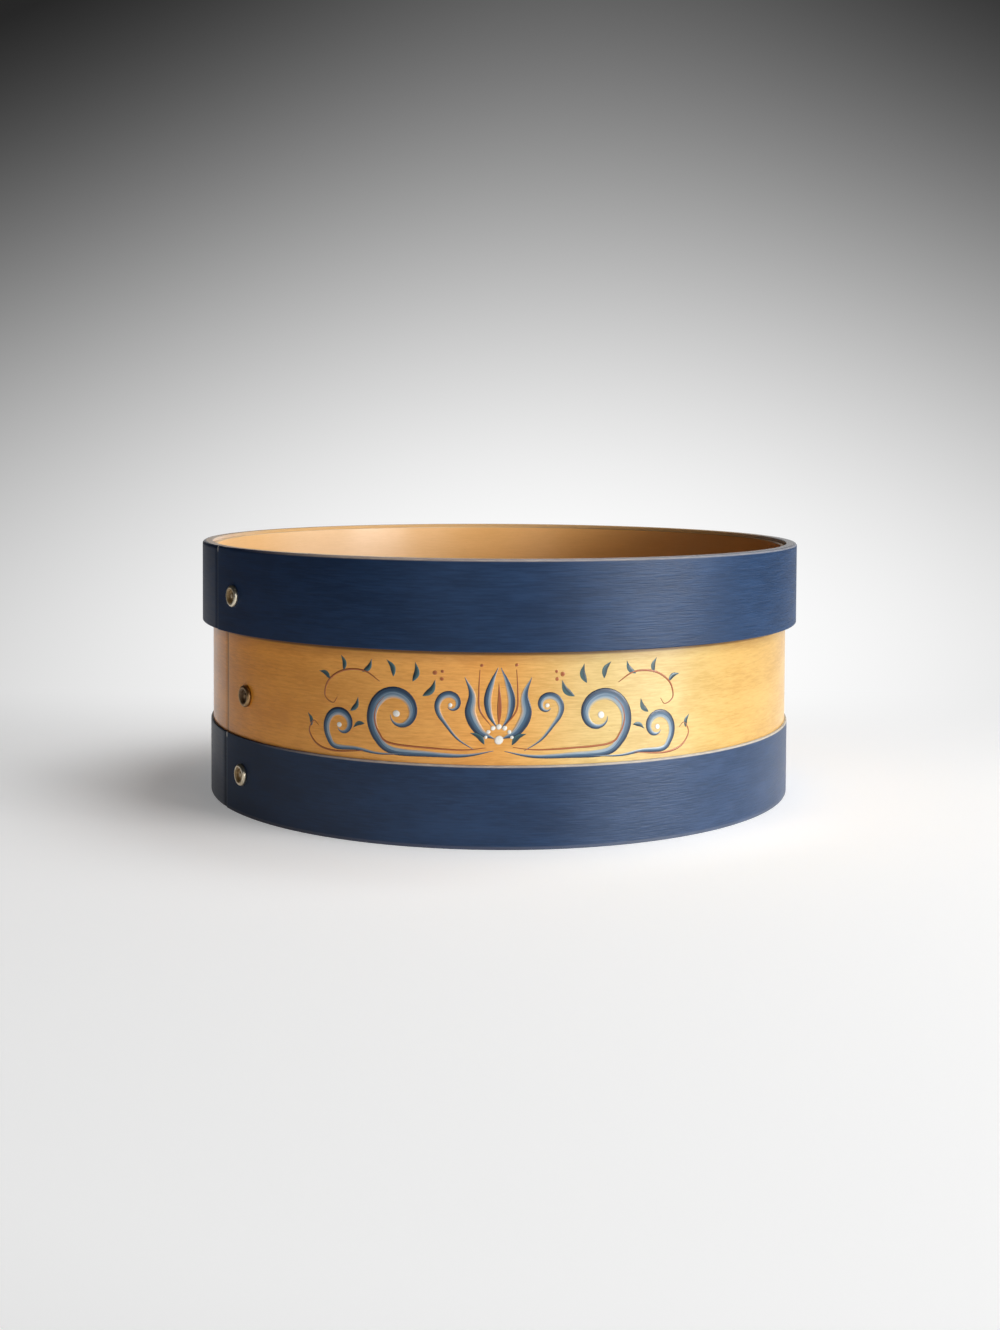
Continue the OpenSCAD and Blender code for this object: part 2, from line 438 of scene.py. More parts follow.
def paint_tendrils(tendrils, hand):
    """Rust hairlines beside the scrolls, in the flower and beyond the volutes, with a few berries."""
    plan = [
        ([5 + 36.3j, 13 + 35.4j, 25 + 35.7j] + volute(36.5 + 46.5j, 10.4, 8.8, -70, 120), 0.85, 0.45),
        ([43.5 + 58.5j, 50 + 62.0j, 58.5 + 61.5j, 65 + 57.3j, 66.5 + 51.8j, 63 + 49.5j, 61 + 51.7j],
         0.85, 0.35),
        ([50 + 32.9j, 62 + 31.8j, 70 + 33.3j, 74 + 37.9j, 72 + 41.9j, 69.6 + 40.5j], 0.8, 0.35),
        ([2.2 + 44.0j, 6.2 + 49.5j, 6.6 + 56.5j, 6.2 + 63.9j], 0.65, 0.4),
    ]
    for knots, thick, peak in plan:
        tendrils.stroke(knots, thick, peak)
        tendrils.stroke(mirrored(knots, hand), thick, peak)
    tendrils.stroke([44.5j, 0.15 + 51.5j, 59j], 1.7, 0.4)
    berries = ((22.6 + 62.1j, 0.85), (20.6 + 60.4j, 0.7), (20.4 + 63.1j, 0.6), (6.2 + 65.5j, 0.6))
    for berry, radius in berries:
        tendrils.dot(berry, radius)
        tendrils.dot(mirrored([berry], hand)[0], radius)


def paint_leaves(leaves, hand):
    """Teal leaves round the volutes and on the tendrils, each as base, direction, length and width."""
    plan = [
        (4.6 + 37.1j, 38, 6.5, 2.1), (27 + 54.1j, 128, 7.5, 2.4), (31.5 + 58.7j, 98, 7, 2.3),
        (38 + 60.1j, 66, 6.5, 2.1), (50.5 + 61.3j, 128, 6, 2.0), (58 + 61.1j, 78, 5.6, 1.9),
        (64.4 + 57.5j, 28, 5.6, 1.9), (55.8 + 47.1j, 122, 6, 2.0), (49.5 + 43.0j, -22, 5, 1.7),
        (72.6 + 40.1j, 70, 5, 1.7),
    ]
    for base, angle, length, thick in plan:
        knots = leaf(base, angle, length)
        leaves.stroke(knots, thick, 0.42, tip=0.12)
        leaves.stroke(mirrored(knots, hand), thick, 0.42, tip=0.12, dark=1)


def paint_dots(dots, hand):
    """White drops in the eyes of the volutes and in an arch over the flower's heart."""
    heart = 38.9j
    for eye, radius in ((36.9 + 47.1j, 1.3), (59.7 + 41.4j, 1.0), (17.1 + 51.1j, 0.8)):
        dots.dot(eye, radius)
        dots.dot(mirrored([eye], hand)[0], radius)
    dots.dot(heart, 1.6)
    for index in range(-3, 4):
        dots.dot(heart + cmath.rect(4.7, math.radians(90 + 26 * index)), 1.0 - 0.13 * abs(index))


def build_ornament():
    """Four paints on the front of the wall, each a piece of its own."""
    hand = random.Random(HAND_SEED)
    blue = brushed_paint(
        "scroll_paint", dark=(0.006, 0.020, 0.050), middle=(0.045, 0.105, 0.180), pale=(0.26, 0.34, 0.40),
        bare_from=0.72)
    rust = brushed_paint(
        "tendril_paint", dark=(0.26, 0.058, 0.012), middle=(0.33, 0.085, 0.018), pale=(0.40, 0.13, 0.03),
        bare_from=1.1)
    teal = brushed_paint(
        "leaf_paint", dark=(0.006, 0.026, 0.038), middle=(0.012, 0.045, 0.058), pale=(0.05, 0.12, 0.13),
        bare_from=1.0)
    for name, rise, paint, material in (
        ("scrolls", 0.10, paint_scrolls, blue), ("tendrils", 0.15, paint_tendrils, rust),
        ("leaves", 0.12, paint_leaves, teal), ("dots", 0.28, paint_dots, drop_paint()),
    ):
        relief = Relief(rise)
        paint(relief, hand)
        new_piece(name, relief.mesh(name), material, "navy_paint")


# Node trees

class Nodes:
    """A node tree in the making, with short forms for its nodes."""

    def __init__(self, tree):
        self.tree = tree
        tree.nodes.clear()

    def add(self, kind, **settings):
        node = self.tree.nodes.new(kind)
        for key, value in settings.items():
            setattr(node, key, value)
        return node

    def feed(self, socket, value):
        """Links a node's output into a socket, or writes a plain value there."""
        if isinstance(value, bpy.types.NodeSocket):
            self.tree.links.new(value, socket)
        else:
            socket.default_value = value

    def math(self, operation, *values):
        node = self.add("ShaderNodeMath", operation=operation)
        for socket, value in zip(node.inputs, values):
            self.feed(socket, value)
        return node.outputs[0]

    def times(self, first, second):
        return self.math("MULTIPLY", first, second)

    def plus(self, first, second):
        return self.math("ADD", first, second)

    def larger(self, first, second):
        return self.math("MAXIMUM", first, second)

    def length(self, x, y):
        """Length of a flat vector."""
        return self.math("SQRT", self.plus(self.times(x, x), self.times(y, y)))

    def split(self, vector):
        """The three parts of a vector."""
        node = self.add("ShaderNodeSeparateXYZ")
        self.feed(node.inputs[0], vector)
        return list(node.outputs)

    def step(self, value, low, high):
        """0 up to low and 1 from high on, smooth between."""
        node = self.add("ShaderNodeMapRange", interpolation_type="SMOOTHSTEP")
        self.feed(node.inputs["Value"], value)
        node.inputs["From Min"].default_value = low
        node.inputs["From Max"].default_value = high
        return node.outputs["Result"]

    def scale(self, value, low, high):
        """Maps 0 to low and 1 to high."""
        return self.math("MULTIPLY_ADD", value, high - low, low)

    def flip(self, value):
        return self.math("SUBTRACT", 1.0, value)

    def mix(self, factor, first, second, blend="MIX"):
        node = self.add("ShaderNodeMix", data_type="RGBA", blend_type=blend)
        self.feed(node.inputs[0], factor)
        for socket, value in zip(node.inputs[6:8], (first, second)):
            self.feed(socket, (*value, 1) if isinstance(value, tuple) else value)
        return node.outputs[2]

    def tinted(self, colour, tint):
        """A colour multiplied by a tint."""
        return self.mix(1.0, colour, tint, blend="MULTIPLY")


class Finish(Nodes):
    """A material in the making. Lengths in its textures are millimetres."""

    def __init__(self, name, **constants):
        self.material = bpy.data.materials.new(name)
        self.material.use_nodes = True
        super().__init__(self.material.node_tree)
        self.output = self.add("ShaderNodeOutputMaterial")
        self.shader = self.add("ShaderNodeBsdfPrincipled")
        self.tree.links.new(self.shader.outputs["BSDF"], self.output.inputs["Surface"])
        for socket, value in constants.items():
            self.shader.inputs[socket.replace("_", " ")].default_value = value

    def noise(self, place, lengths, seed=0.0, detail=3.0, roughness=0.55, distortion=0.0):
        """Noise between 0 and 1 with features of these lengths along the three coordinates."""
        vector = self.add("ShaderNodeCombineXYZ")
        for socket, coordinate, length in zip(vector.inputs, place, lengths):
            self.feed(socket, self.math("MULTIPLY_ADD", coordinate, 1 / length, seed))
        node = self.add("ShaderNodeTexNoise", noise_dimensions="3D")
        self.feed(node.inputs["Vector"], vector.outputs[0])
        settings = {"Scale": 1, "Detail": detail, "Roughness": roughness, "Distortion": distortion}
        for socket, value in settings.items():
            node.inputs[socket].default_value = value
        return node.outputs["Fac"]

    def bump(self, height, depth, normal=None):
        """Relief of this depth in metres, laid over an earlier one."""
        node = self.add("ShaderNodeBump")
        node.inputs["Distance"].default_value = depth
        self.feed(node.inputs["Height"], height)
        if normal:
            self.feed(node.inputs["Normal"], normal)
        return node.outputs["Normal"]

    def attribute(self, name):
        return self.add("ShaderNodeAttribute", attribute_name=name).outputs["Fac"]

    def place(self):
        """The object's own x, y and z in millimetres."""
        coordinates = self.add("ShaderNodeTexCoord").outputs["Object"]
        return [self.times(part, 1 / MM) for part in self.split(coordinates)]

    def round_place(self):
        """Arc length round the box, height and radius in millimetres. The arc is 0 opposite the seam,
        negative round the front and positive round the back."""
        turned = self.add("ShaderNodeVectorRotate", rotation_type="Z_AXIS")
        turned.inputs["Angle"].default_value = math.pi - SEAM
        self.feed(turned.inputs["Vector"], self.add("ShaderNodeTexCoord").outputs["Object"])
        x, y, z = self.split(turned.outputs[0])
        arc = self.times(self.math("ARCTAN2", y, x), WALL_R / MM)
        return arc, self.times(z, 1 / MM), self.times(self.length(x, y), 1 / MM)

    def from_seam(self, arc):
        """Arc length to the seam, whichever way is shorter."""
        half = math.pi * WALL_R / MM
        return self.math("SUBTRACT", half, self.math("ABSOLUTE", arc))

    def front_beyond(self, arc, low, high):
        """0 up to low and 1 from high on, counted from the seam round the front, and 0 at the back."""
        at_front = self.flip(self.step(arc, *FRONT_UNTIL_ARC))
        return self.times(self.step(self.from_seam(arc), low, high), at_front)

    def finish(self, **sockets):
        for socket, value in sockets.items():
            self.feed(self.shader.inputs[socket.replace("_", " ")], value)
        return self.material


# Tones of the materials. A pair of places is where a change starts and ends, in millimetres from the seam,
# or of arc where the name says so. A shade under the rim has two depths below the hoop and a strength.

PLAIN = (1.0, 1.0, 1.0)
OUTER_WOOD = {"dark": (0.68, 0.30, 0.062), "light": (0.84, 0.405, 0.100), "fleck": (0.30, 0.11, 0.018)}
INNER_WOOD = {"dark": (0.84, 0.51, 0.225), "light": (0.89, 0.55, 0.255), "fleck": (0.70, 0.40, 0.16)}
BARE_WOOD = {"dark": (0.62, 0.46, 0.35), "light": (0.74, 0.60, 0.48), "fleck": (0.42, 0.28, 0.18)}
BOARD_WOOD = {"dark": (0.27, 0.13, 0.042), "light": (0.40, 0.22, 0.080), "fleck": (0.17, 0.08, 0.025)}
BOARD_RINGS = (0.28, 0.14, 0.05)

# Painted light on the wall's outside: a deeper painted-shade tone by the seam, a painted highlight round the
# front right, and a paler painted lit tone beyond it.
SHADED_SIDE_PAINTED_TINT = (1.04, 0.83, 0.34)
WARM_UNTIL = (10, 95)
PAINTED_HIGHLIGHT_TINT = (0.83, 1.28, 2.10)
PAINTED_HIGHLIGHT_FROM = (120, 170)
LIT_SIDE_PAINTED_TINT = (0.78, 1.02, 1.30)
LIT_SIDE_PAINTED_FROM = (190, 235)
UNDER_RIM = (0.10, 0.045, 0.012)
UNDER_RIM_SHADES = (((6.0, 1.2), 0.35), ((2.4, 1.0), 0.92))
# Seam tones of the wall: grime with painted shade in the groove, wear with a painted sheen on the lip.
HONEY_SEAM_GRIME_AND_SHADE = (0.085, 0.036, 0.010)
HONEY_LIP_WEAR_AND_SHEEN = (0.80, 0.50, 0.22)

INSIDE_RELIEF = 0.08
INSIDE_GLOSS = 0.275
INSIDE_MOTTLE = 0.2
# Painted light inside the wall: shade on the right, warmer shade further round, a highlight on the left.
INSIDE_PAINTED_SHADE = (0.50, 0.41, 0.31)
DARK_UNTIL_ARC = (-10, 130)
INSIDE_WARM_PAINTED_SHADE = (1.06, 0.95, 0.74)
WARM_UNTIL_ARC = (110, 200)
INSIDE_PAINTED_HIGHLIGHT = (1.05, 1.16, 1.48)
PALE_FROM_ARC = (165, 215)
PALE_UNTIL_ARC = (235, 280)
LAP_UNTIL_ARC = (-330, -200)
# Top edge tones: painted shade to the right, where the rim shades it, and the wood's own pale end grain
# elsewhere.
TOP_PAINTED_SHADE = (0.20, 0.10, 0.03)
TOP_PALE = (0.74, 0.52, 0.30)
TOP_PALE_FROM_ARC = (60, 170)
FRONT_UNTIL_ARC = (-80, 60)
# Shares of wear with painted sheen on the lip and of grime with painted shade in the seam.
LIP_WEAR_AND_SHEEN = 0.4
GROOVE_GRIME_AND_SHADE = 0.85

NAVY_DARK = (0.0055, 0.0225, 0.064)
NAVY_LIGHT = (0.0110, 0.037, 0.098)
# Painted light on the hoops: shade near the seam, and a sheen far round the front.
NAVY_TINT_UNTIL = (10, 130)
NAVY_TINT_FROM = (145, 175)
# Grime with painted shade in a hoop's seam, and wear with a painted sheen on its lip.
NAVY_SEAM_GRIME_AND_SHADE = (0.002, 0.004, 0.008)
NAVY_LIP_WEAR_AND_SHEEN = (0.060, 0.090, 0.140)
CHIP = (0.86, 0.82, 0.76)
FAR_BARE_FROM = (60, 230)
BACK_BARE = (0.64, 0.40, 0.18)
BACK_FROM_ARC = (-60, 20)
BACK_BEYOND = (50, 130)
RUBBED_FROM = (15, 90)
DULL_UNTIL = (10, 90)
BRUSHED_FROM = (40, 150)

DROP_DARK = (0.72, 0.69, 0.62)
DROP_LIGHT = (0.84, 0.82, 0.77)
DROP_RIM = (0.55, 0.48, 0.36)


# Materials

def wood_tones(finish, place, dark, light, fleck):
    """Colour and relief of bent wood, grain along the first coordinate."""
    clouds = finish.noise(place, (30, 10, 30), seed=3.1, detail=3)
    streaks = finish.noise(place, (7, 0.8, 9), seed=11.7, detail=3, roughness=0.55, distortion=0.3)
    fibres = finish.noise(place, (3, 0.4, 5), seed=5.3, detail=2, roughness=0.5)
    flecks = finish.noise(place, (2.6, 0.4, 4), seed=23.9, detail=1)
    tone = finish.plus(finish.scale(clouds, 0, 0.40), finish.scale(streaks, 0, 0.35))
    tone = finish.plus(tone, finish.scale(fibres, 0, 0.25))
    colour = finish.mix(finish.step(tone, 0.36, 0.64), dark, light)
    marks = finish.step(flecks, 0.74, 0.80)
    colour = finish.mix(finish.times(marks, 0.5), colour, fleck)
    relief = finish.math("SUBTRACT", fibres, marks)
    return colour, relief


def rim_shade(finish, height):
    """Shade on the wall under the rim hoop: a wide faint one and a narrow deep one."""
    shades = []
    for (start, full), strength in UNDER_RIM_SHADES:
        shade = finish.step(height, RIM_LOW / MM - start, RIM_LOW / MM - full)
        shades.append(finish.scale(shade, 0, strength))
    return finish.larger(*shades)


def varnished_wood(finish, place, relief_share=1.0):
    """Colour, roughness and normal of the wall's outside, with this share of its relief. Its colour holds
    painted shade by the seam and under the rim, and a painted highlight round the front right.
    """
    arc, height = place[:2]
    colour, relief = wood_tones(finish, place, **OUTER_WOOD)
    mottle = finish.noise(place, (8, 5, 8), seed=41.3, detail=4)
    gloss = finish.scale(mottle, 0.27, 0.36)
    normal = finish.bump(finish.times(relief, relief_share), 0.022 * MM)
    normal = finish.bump(finish.times(mottle, relief_share), 0.06 * MM, normal)
    # Painted shade by the seam, then a painted highlight and a paler painted lit tone round the front right.
    tint = finish.mix(finish.step(finish.from_seam(arc), *WARM_UNTIL), SHADED_SIDE_PAINTED_TINT, PLAIN)
    tint = finish.mix(finish.front_beyond(arc, *PAINTED_HIGHLIGHT_FROM), tint, PAINTED_HIGHLIGHT_TINT)
    tint = finish.mix(finish.front_beyond(arc, *LIT_SIDE_PAINTED_FROM), tint, LIT_SIDE_PAINTED_TINT)
    colour = finish.mix(rim_shade(finish, height), finish.tinted(colour, tint), UNDER_RIM)
    return colour, gloss, normal


def inner_wood(finish, place, by_lap):
    """Colour of the wall's inside, with painted shade on its right, warmer painted shade further round and a
    painted highlight on its left. Its arc grows from right to left round the back.
    """
    arc = place[0]
    colour = wood_tones(finish, place, **INNER_WOOD)[0]
    # Painted shade: darker on the inside's right, warmer further round.
    for tint, until in ((INSIDE_PAINTED_SHADE, DARK_UNTIL_ARC), (INSIDE_WARM_PAINTED_SHADE, WARM_UNTIL_ARC)):
        plain = finish.larger(finish.step(arc, *until), by_lap)
        colour = finish.tinted(colour, finish.mix(plain, tint, PLAIN))
    # Painted highlight where the light falls on the inside's left.
    pale = finish.times(finish.step(arc, *PALE_FROM_ARC), finish.flip(finish.step(arc, *PALE_UNTIL_ARC)))
    return finish.tinted(colour, finish.mix(pale, PLAIN, INSIDE_PAINTED_HIGHLIGHT))


def seam_colour(finish, colour, grime_and_shade, worn):
    """Darkens the open seam of a band with grime and painted shade, and pales the end that stands over it
    with wear and a painted sheen.
    """
    # Wear and painted sheen on the lip, grime and painted shade in the groove.
    colour = finish.mix(finish.scale(finish.attribute("lip"), 0, LIP_WEAR_AND_SHEEN), colour, worn)
    return finish.mix(finish.scale(finish.attribute("groove"), 0, GROOVE_GRIME_AND_SHADE), colour, grime_and_shade)


def honey_wood():
    """Wood of the wall: varnished outside, smoother inside in other tones that hold painted shade and a
    painted highlight, with a plain top edge that has painted shade on its right.
    """
    finish = Finish("honey_wood", Specular_IOR_Level=0.37, Anisotropic=0.7, Anisotropic_Rotation=0.25)
    place = finish.round_place()
    arc, height, radius = place
    outside = finish.step(radius, WALL_IN_R / MM + 0.5, WALL_R / MM - 0.7)
    by_lap = finish.flip(finish.step(arc, *LAP_UNTIL_ARC))
    varnished, gloss, normal = varnished_wood(finish, place, finish.scale(outside, INSIDE_RELIEF, 1.0))
    colour = finish.mix(outside, inner_wood(finish, place, by_lap), varnished)
    top = finish.step(height, WALL_HIGH / MM - 0.35, WALL_HIGH / MM - 0.1)
    # Painted shade on the top edge to the right.
    edge = finish.mix(finish.larger(finish.step(arc, *TOP_PALE_FROM_ARC), by_lap), TOP_PAINTED_SHADE, TOP_PALE)
    colour = finish.mix(top, colour, edge)
    colour = seam_colour(finish, colour, HONEY_SEAM_GRIME_AND_SHADE, HONEY_LIP_WEAR_AND_SHEEN)
    uneven = finish.math("SUBTRACT", gloss, INSIDE_GLOSS)
    gloss = finish.math("MULTIPLY_ADD", uneven, finish.scale(outside, INSIDE_MOTTLE, 1.0), INSIDE_GLOSS)
    return finish.finish(Base_Color=colour, Roughness=gloss, Normal=normal)


def hoop_wood(finish, place, far_bare):
    """Bare wood of a hoop: pale near the seam, warm at the back, of another colour far round the front."""
    arc = place[0]
    from_seam = finish.from_seam(arc)
    bare = wood_tones(finish, place, **BARE_WOOD)[0]
    bare = finish.mix(finish.scale(finish.step(from_seam, *FAR_BARE_FROM), 0, 0.75), bare, far_bare)
    back = finish.times(finish.step(arc, *BACK_FROM_ARC), finish.step(from_seam, *BACK_BEYOND))
    return finish.mix(back, bare, BACK_BARE)


def navy_coat(finish, arc, strokes, clouds, painted_shade_tint, painted_sheen_tint):
    """Colour of brushed navy paint, with painted shade near the seam and a painted sheen far round the
    front.
    """
    tone = finish.plus(finish.scale(strokes, 0, 0.55), finish.scale(clouds, 0, 0.45))
    paint = finish.mix(finish.step(tone, 0.35, 0.68), NAVY_DARK, NAVY_LIGHT)
    tint = finish.mix(finish.step(finish.from_seam(arc), *NAVY_TINT_UNTIL), painted_shade_tint, PLAIN)
    tint = finish.mix(finish.front_beyond(arc, *NAVY_TINT_FROM), tint, painted_sheen_tint)
    return finish.tinted(paint, tint)


def edge_wear(finish, place, ragged, low, high, top_wear, foot_wear):
    """Share of paint that is gone near a hoop's edges: chips, a rubbed foot and a rubbed top arris."""
    arc, height = place[:2]
    chips = finish.step(finish.noise(place, (1.5, 0.9, 0.9), seed=53.2, detail=2), 0.73, 0.78)
    near_edge = finish.larger(finish.step(height, high - 0.9, high - 0.5),
                              finish.flip(finish.step(height, low + 0.3, low + 0.8)))
    foot = finish.flip(finish.step(height, low + 0.8, low + 1.5))
    worn = finish.larger(finish.scale(finish.times(chips, near_edge), 0, 0.6),
                         finish.scale(foot, 0, foot_wear))
    arris = finish.times(finish.step(height, high - 1.0, high - 0.5),
                         finish.step(finish.from_seam(arc), *RUBBED_FROM))
    return finish.larger(worn, finish.times(arris, finish.scale(ragged, 0.4 * top_wear, top_wear)))


def hoop_gloss(finish, place, covered, strokes, satin, high):
    """Roughness of a hoop: satin paint, duller near the seam, in the open seam and on bare wood."""
    arc, height = place[:2]
    gloss = finish.plus(finish.scale(covered, 0.65, satin), finish.scale(strokes, -0.06, 0.10))
    behind_seam = finish.step(arc, -1, 1)
    dull = finish.times(finish.flip(finish.step(finish.from_seam(arc), *DULL_UNTIL)),
                        finish.scale(behind_seam, 0.24, 0.05))
    dull = finish.times(dull, finish.flip(finish.attribute("lip")))
    dull = finish.plus(dull, finish.scale(finish.attribute("groove"), 0, 0.4))
    top = finish.step(height, high - 0.5, high - 0.15)
    return finish.times(finish.plus(gloss, dull), finish.scale(top, 1.0, 0.35))


def navy_paint(
    name, span, bare_from, far_bare, shine, satin, relief, top_wear, foot_wear, painted_shade_tint, painted_sheen_tint,
):
    """Satin brushed paint on a hoop between two heights, with bare wood inside the radius bare_from. Wear is
    the share of paint that is rubbed off at the top and at the foot."""
    finish = Finish(name, Specular_IOR_Level=shine)
    place = finish.round_place()
    arc, height, radius = place
    low, high = [level / MM for level in span]
    strokes = finish.noise(place, (8, 0.6, 6), seed=7.7, detail=3, roughness=0.6)
    clouds = finish.noise(place, (24, 8, 9), seed=2.9, detail=3)
    ragged = finish.noise(place, (4, 0.8, 0.8), seed=17.1, detail=4)
    depth = finish.plus(radius, finish.scale(ragged, -0.25, 0.25))
    covered = finish.step(depth, bare_from / MM - 0.15, bare_from / MM + 0.15)
    worn = edge_wear(finish, place, ragged, low, high, top_wear, foot_wear)
    covered = finish.times(covered, finish.flip(worn))
    # The paint carries painted shade near the seam and a painted sheen far round the front.
    paint = navy_coat(finish, arc, strokes, clouds, painted_shade_tint, painted_sheen_tint)
    colour = finish.mix(covered, hoop_wood(finish, place, far_bare), paint)
    colour = seam_colour(finish, colour, NAVY_SEAM_GRIME_AND_SHADE, NAVY_LIP_WEAR_AND_SHEEN)
    end_chip = finish.times(finish.attribute("lip"), finish.step(height, high - 2.6, high - 1.4))
    colour = finish.mix(end_chip, colour, CHIP)
    gloss = hoop_gloss(finish, place, covered, strokes, satin, high)
    brushed_here = finish.step(finish.from_seam(arc), *BRUSHED_FROM)
    brushed = finish.times(strokes, finish.scale(brushed_here, 0.35, 1.0))
    normal = finish.bump(clouds, 0.08 * MM, finish.bump(brushed, relief))
    return finish.finish(Base_Color=colour, Roughness=gloss, Normal=normal)


def brushed_paint(name, dark, middle, pale, bare_from):
    """Brush stroke that goes from dark to pale across its width and is combed out into the wood."""
    finish = Finish(name, Specular_IOR_Level=0.6)
    wood, gloss, normal = varnished_wood(finish, finish.round_place())
    across = finish.attribute("across")
    hairs = finish.noise((finish.attribute("along"), across, 0.0), (11, 0.09, 1), seed=9.4, detail=3)
    reach = finish.plus(across, finish.scale(hairs, -0.32, 0.32))
    colour = finish.mix(finish.step(reach, 0.12, 0.50), dark, middle)
    colour = finish.mix(finish.step(reach, 0.42, 0.80), colour, pale)
    colour = finish.mix(finish.step(reach, bare_from, bare_from + 0.28), colour, wood)
    normal = finish.bump(hairs, 0.02 * MM, normal)
    return finish.finish(Base_Color=colour, Roughness=gloss, Normal=normal)


def drop_paint():
    """Off-white drops, a little thinner at the rim."""
    finish = Finish("drop_paint", Specular_IOR_Level=0.5)
    grain = finish.noise(finish.round_place(), (0.5, 0.5, 0.5), seed=4.4, detail=3)
    colour = finish.mix(finish.step(grain, 0.3, 0.7), DROP_DARK, DROP_LIGHT)
    colour = finish.mix(finish.step(finish.attribute("across"), 0.75, 1.0), colour, DROP_RIM)
    gloss = finish.scale(grain, 0.35, 0.5)
    return finish.finish(Base_Color=colour, Roughness=gloss, Normal=finish.bump(grain, 0.03 * MM))


def planed_wood():
    """Board wood, grain along x with a few broad growth bands."""
    finish = Finish("pale_wood", Specular_IOR_Level=0.3)
    x, y, z = finish.place()
    bend = finish.noise((x, y, z), (130, 40, 40), seed=8.8, detail=2)
    across = finish.plus(y, finish.scale(bend, -14, 14))
    colour, relief = wood_tones(finish, (x, across, z), **BOARD_WOOD)
    rings = finish.noise((x, across, z), (400, 5, 20), seed=31.4, detail=2)
    colour = finish.mix(finish.times(finish.step(rings, 0.5, 0.7), 0.35), colour, BOARD_RINGS)
    gloss = finish.scale(rings, 0.55, 0.7)
    return finish.finish(Base_Color=colour, Roughness=gloss, Normal=finish.bump(relief, 0.06 * MM))


def brass(name, bright, dull, dark):
    """Worn brass. Recesses and cloudy spots are tarnished."""
    finish = Finish(name)
    place = finish.place()
    clouds = finish.noise(place, (2.4, 2.4, 2.4), seed=6.1, detail=4)
    grit = finish.noise(place, (0.35, 0.35, 0.35), seed=14.2, detail=3)
    recess = finish.attribute("recess")
    colour = finish.mix(finish.step(clouds, 0.35, 0.68), bright, dull)
    tarnish = finish.larger(recess, finish.step(grit, 0.68, 0.8))
    colour = finish.mix(finish.times(tarnish, 0.85), colour, dark)
    gloss = finish.plus(finish.scale(clouds, 0.22, 0.42), finish.scale(recess, 0, 0.2))
    metal = finish.scale(recess, 1.0, 0.25)
    normal = finish.bump(grit, 0.03 * MM)
    return finish.finish(Base_Color=colour, Roughness=gloss, Metallic=metal, Normal=normal)


# The box

RIM_ROUNDS = [radius * MM for radius in (0.2, 0.35, 1.2, 0.4)]
WALL_ROUNDS = [radius * MM for radius in (0.3, 0.3, 0.4, 0.4)]
BASE_ROUNDS = [radius * MM for radius in (0.1, 0.25, 0.7, 0.1)]
RIM_BARE_R = RIM_R - 1.4 * MM
BASE_BARE_R = BASE_R - 0.75 * MM


def dress(node, material):
    """Gives a CAD node a new material."""
    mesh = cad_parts[node].data
    mesh.materials.clear()
    mesh.materials.append(material)


def build_bands():
    """The wall and its two hoops, each lapped at the seam."""
    wall = lapped_band(
        "wall", WALL_IN_R, WALL_R, WALL_LOW, WALL_HIGH, WALL_ROUNDS, proud=0.07 * MM, edge=0.45 * MM)
    new_piece("wall", wall, honey_wood(), "honey_wood", "wall_band")
    # Each hoop's tints are painted shade near the seam and a painted sheen far round the front.
    rim_paint = navy_paint(
        "rim_paint", (RIM_LOW, RIM_HIGH), RIM_BARE_R, far_bare=(0.26, 0.30, 0.35), shine=0.27,
        satin=0.42, relief=0.16 * MM, top_wear=0.9, foot_wear=0.0, painted_shade_tint=(0.60, 0.70, 0.80),
        painted_sheen_tint=(1.7, 1.35, 1.25))
    rim = lapped_band(
        "rim", HOOP_IN_R, RIM_R, RIM_LOW, RIM_HIGH, RIM_ROUNDS, proud=0.3 * MM, edge=0.9 * MM)
    new_piece("rim", rim, rim_paint, "navy_paint", "rim_hoop")
    base_paint = navy_paint(
        "base_paint", (BASE_LOW, BASE_HIGH), BASE_BARE_R, far_bare=(0.84, 0.76, 0.58), shine=0.34,
        satin=0.37, relief=0.09 * MM, top_wear=0.85, foot_wear=0.06, painted_shade_tint=(0.45, 0.55, 0.60),
        painted_sheen_tint=(3.0, 1.75, 1.42))
    base = lapped_band(
        "base", HOOP_IN_R, BASE_R, BASE_LOW, BASE_HIGH, BASE_ROUNDS, proud=0.12 * MM, edge=0.42 * MM)
    new_piece("base", base, base_paint, "navy_paint", "base_hoop")


def build_rivets():
    """Three rivets beside the seam, and the washers under their clinched ends."""
    pale = brass(
        "pale_brass", bright=(0.86, 0.78, 0.62), dull=(0.66, 0.54, 0.36), dark=(0.25, 0.14, 0.03))
    brown = brass(
        "brown_brass", bright=(0.42, 0.27, 0.13), dull=(0.20, 0.11, 0.045), dark=(0.09, 0.045, 0.016))
    for node, seat, turn, metal in (
        ("rim_rivet", RIM_R, HOOP_RIVET_TURN, pale), ("wall_rivet", WALL_R, WALL_RIVET_TURN, brown),
        ("base_rivet", BASE_R, HOOP_RIVET_TURN, pale),
    ):
        low, high = heights(node)
        new_piece(f"{node}_turned", rivet_mesh(node, seat, turn, (low + high) / 2), metal, "brass", node)
    for node in ("rim_washer", "wall_washer", "base_washer"):
        dress(node, pale)


# Stage, light and camera

FLOOR_R = 4.0
FLOOR_SIDES = 96
PAPER_MIDDLE = (0.08, -0.05)
PAPER_R, DARK_R = 0.36, 0.75
FADE_START, FADE_END = -0.02, 0.24
ROOM_LEVEL = 0.02
LAMP_DISTANCE = 1.5
LAMP_TARGET = (0, 0, 0.05)
PAPER_DARK = (0.90, 0.90, 0.90)
PAPER_LIGHT = (0.93, 0.93, 0.93)
FAR_FLOOR = (0.06, 0.06, 0.06)
PAPER_GLOW = 0.22
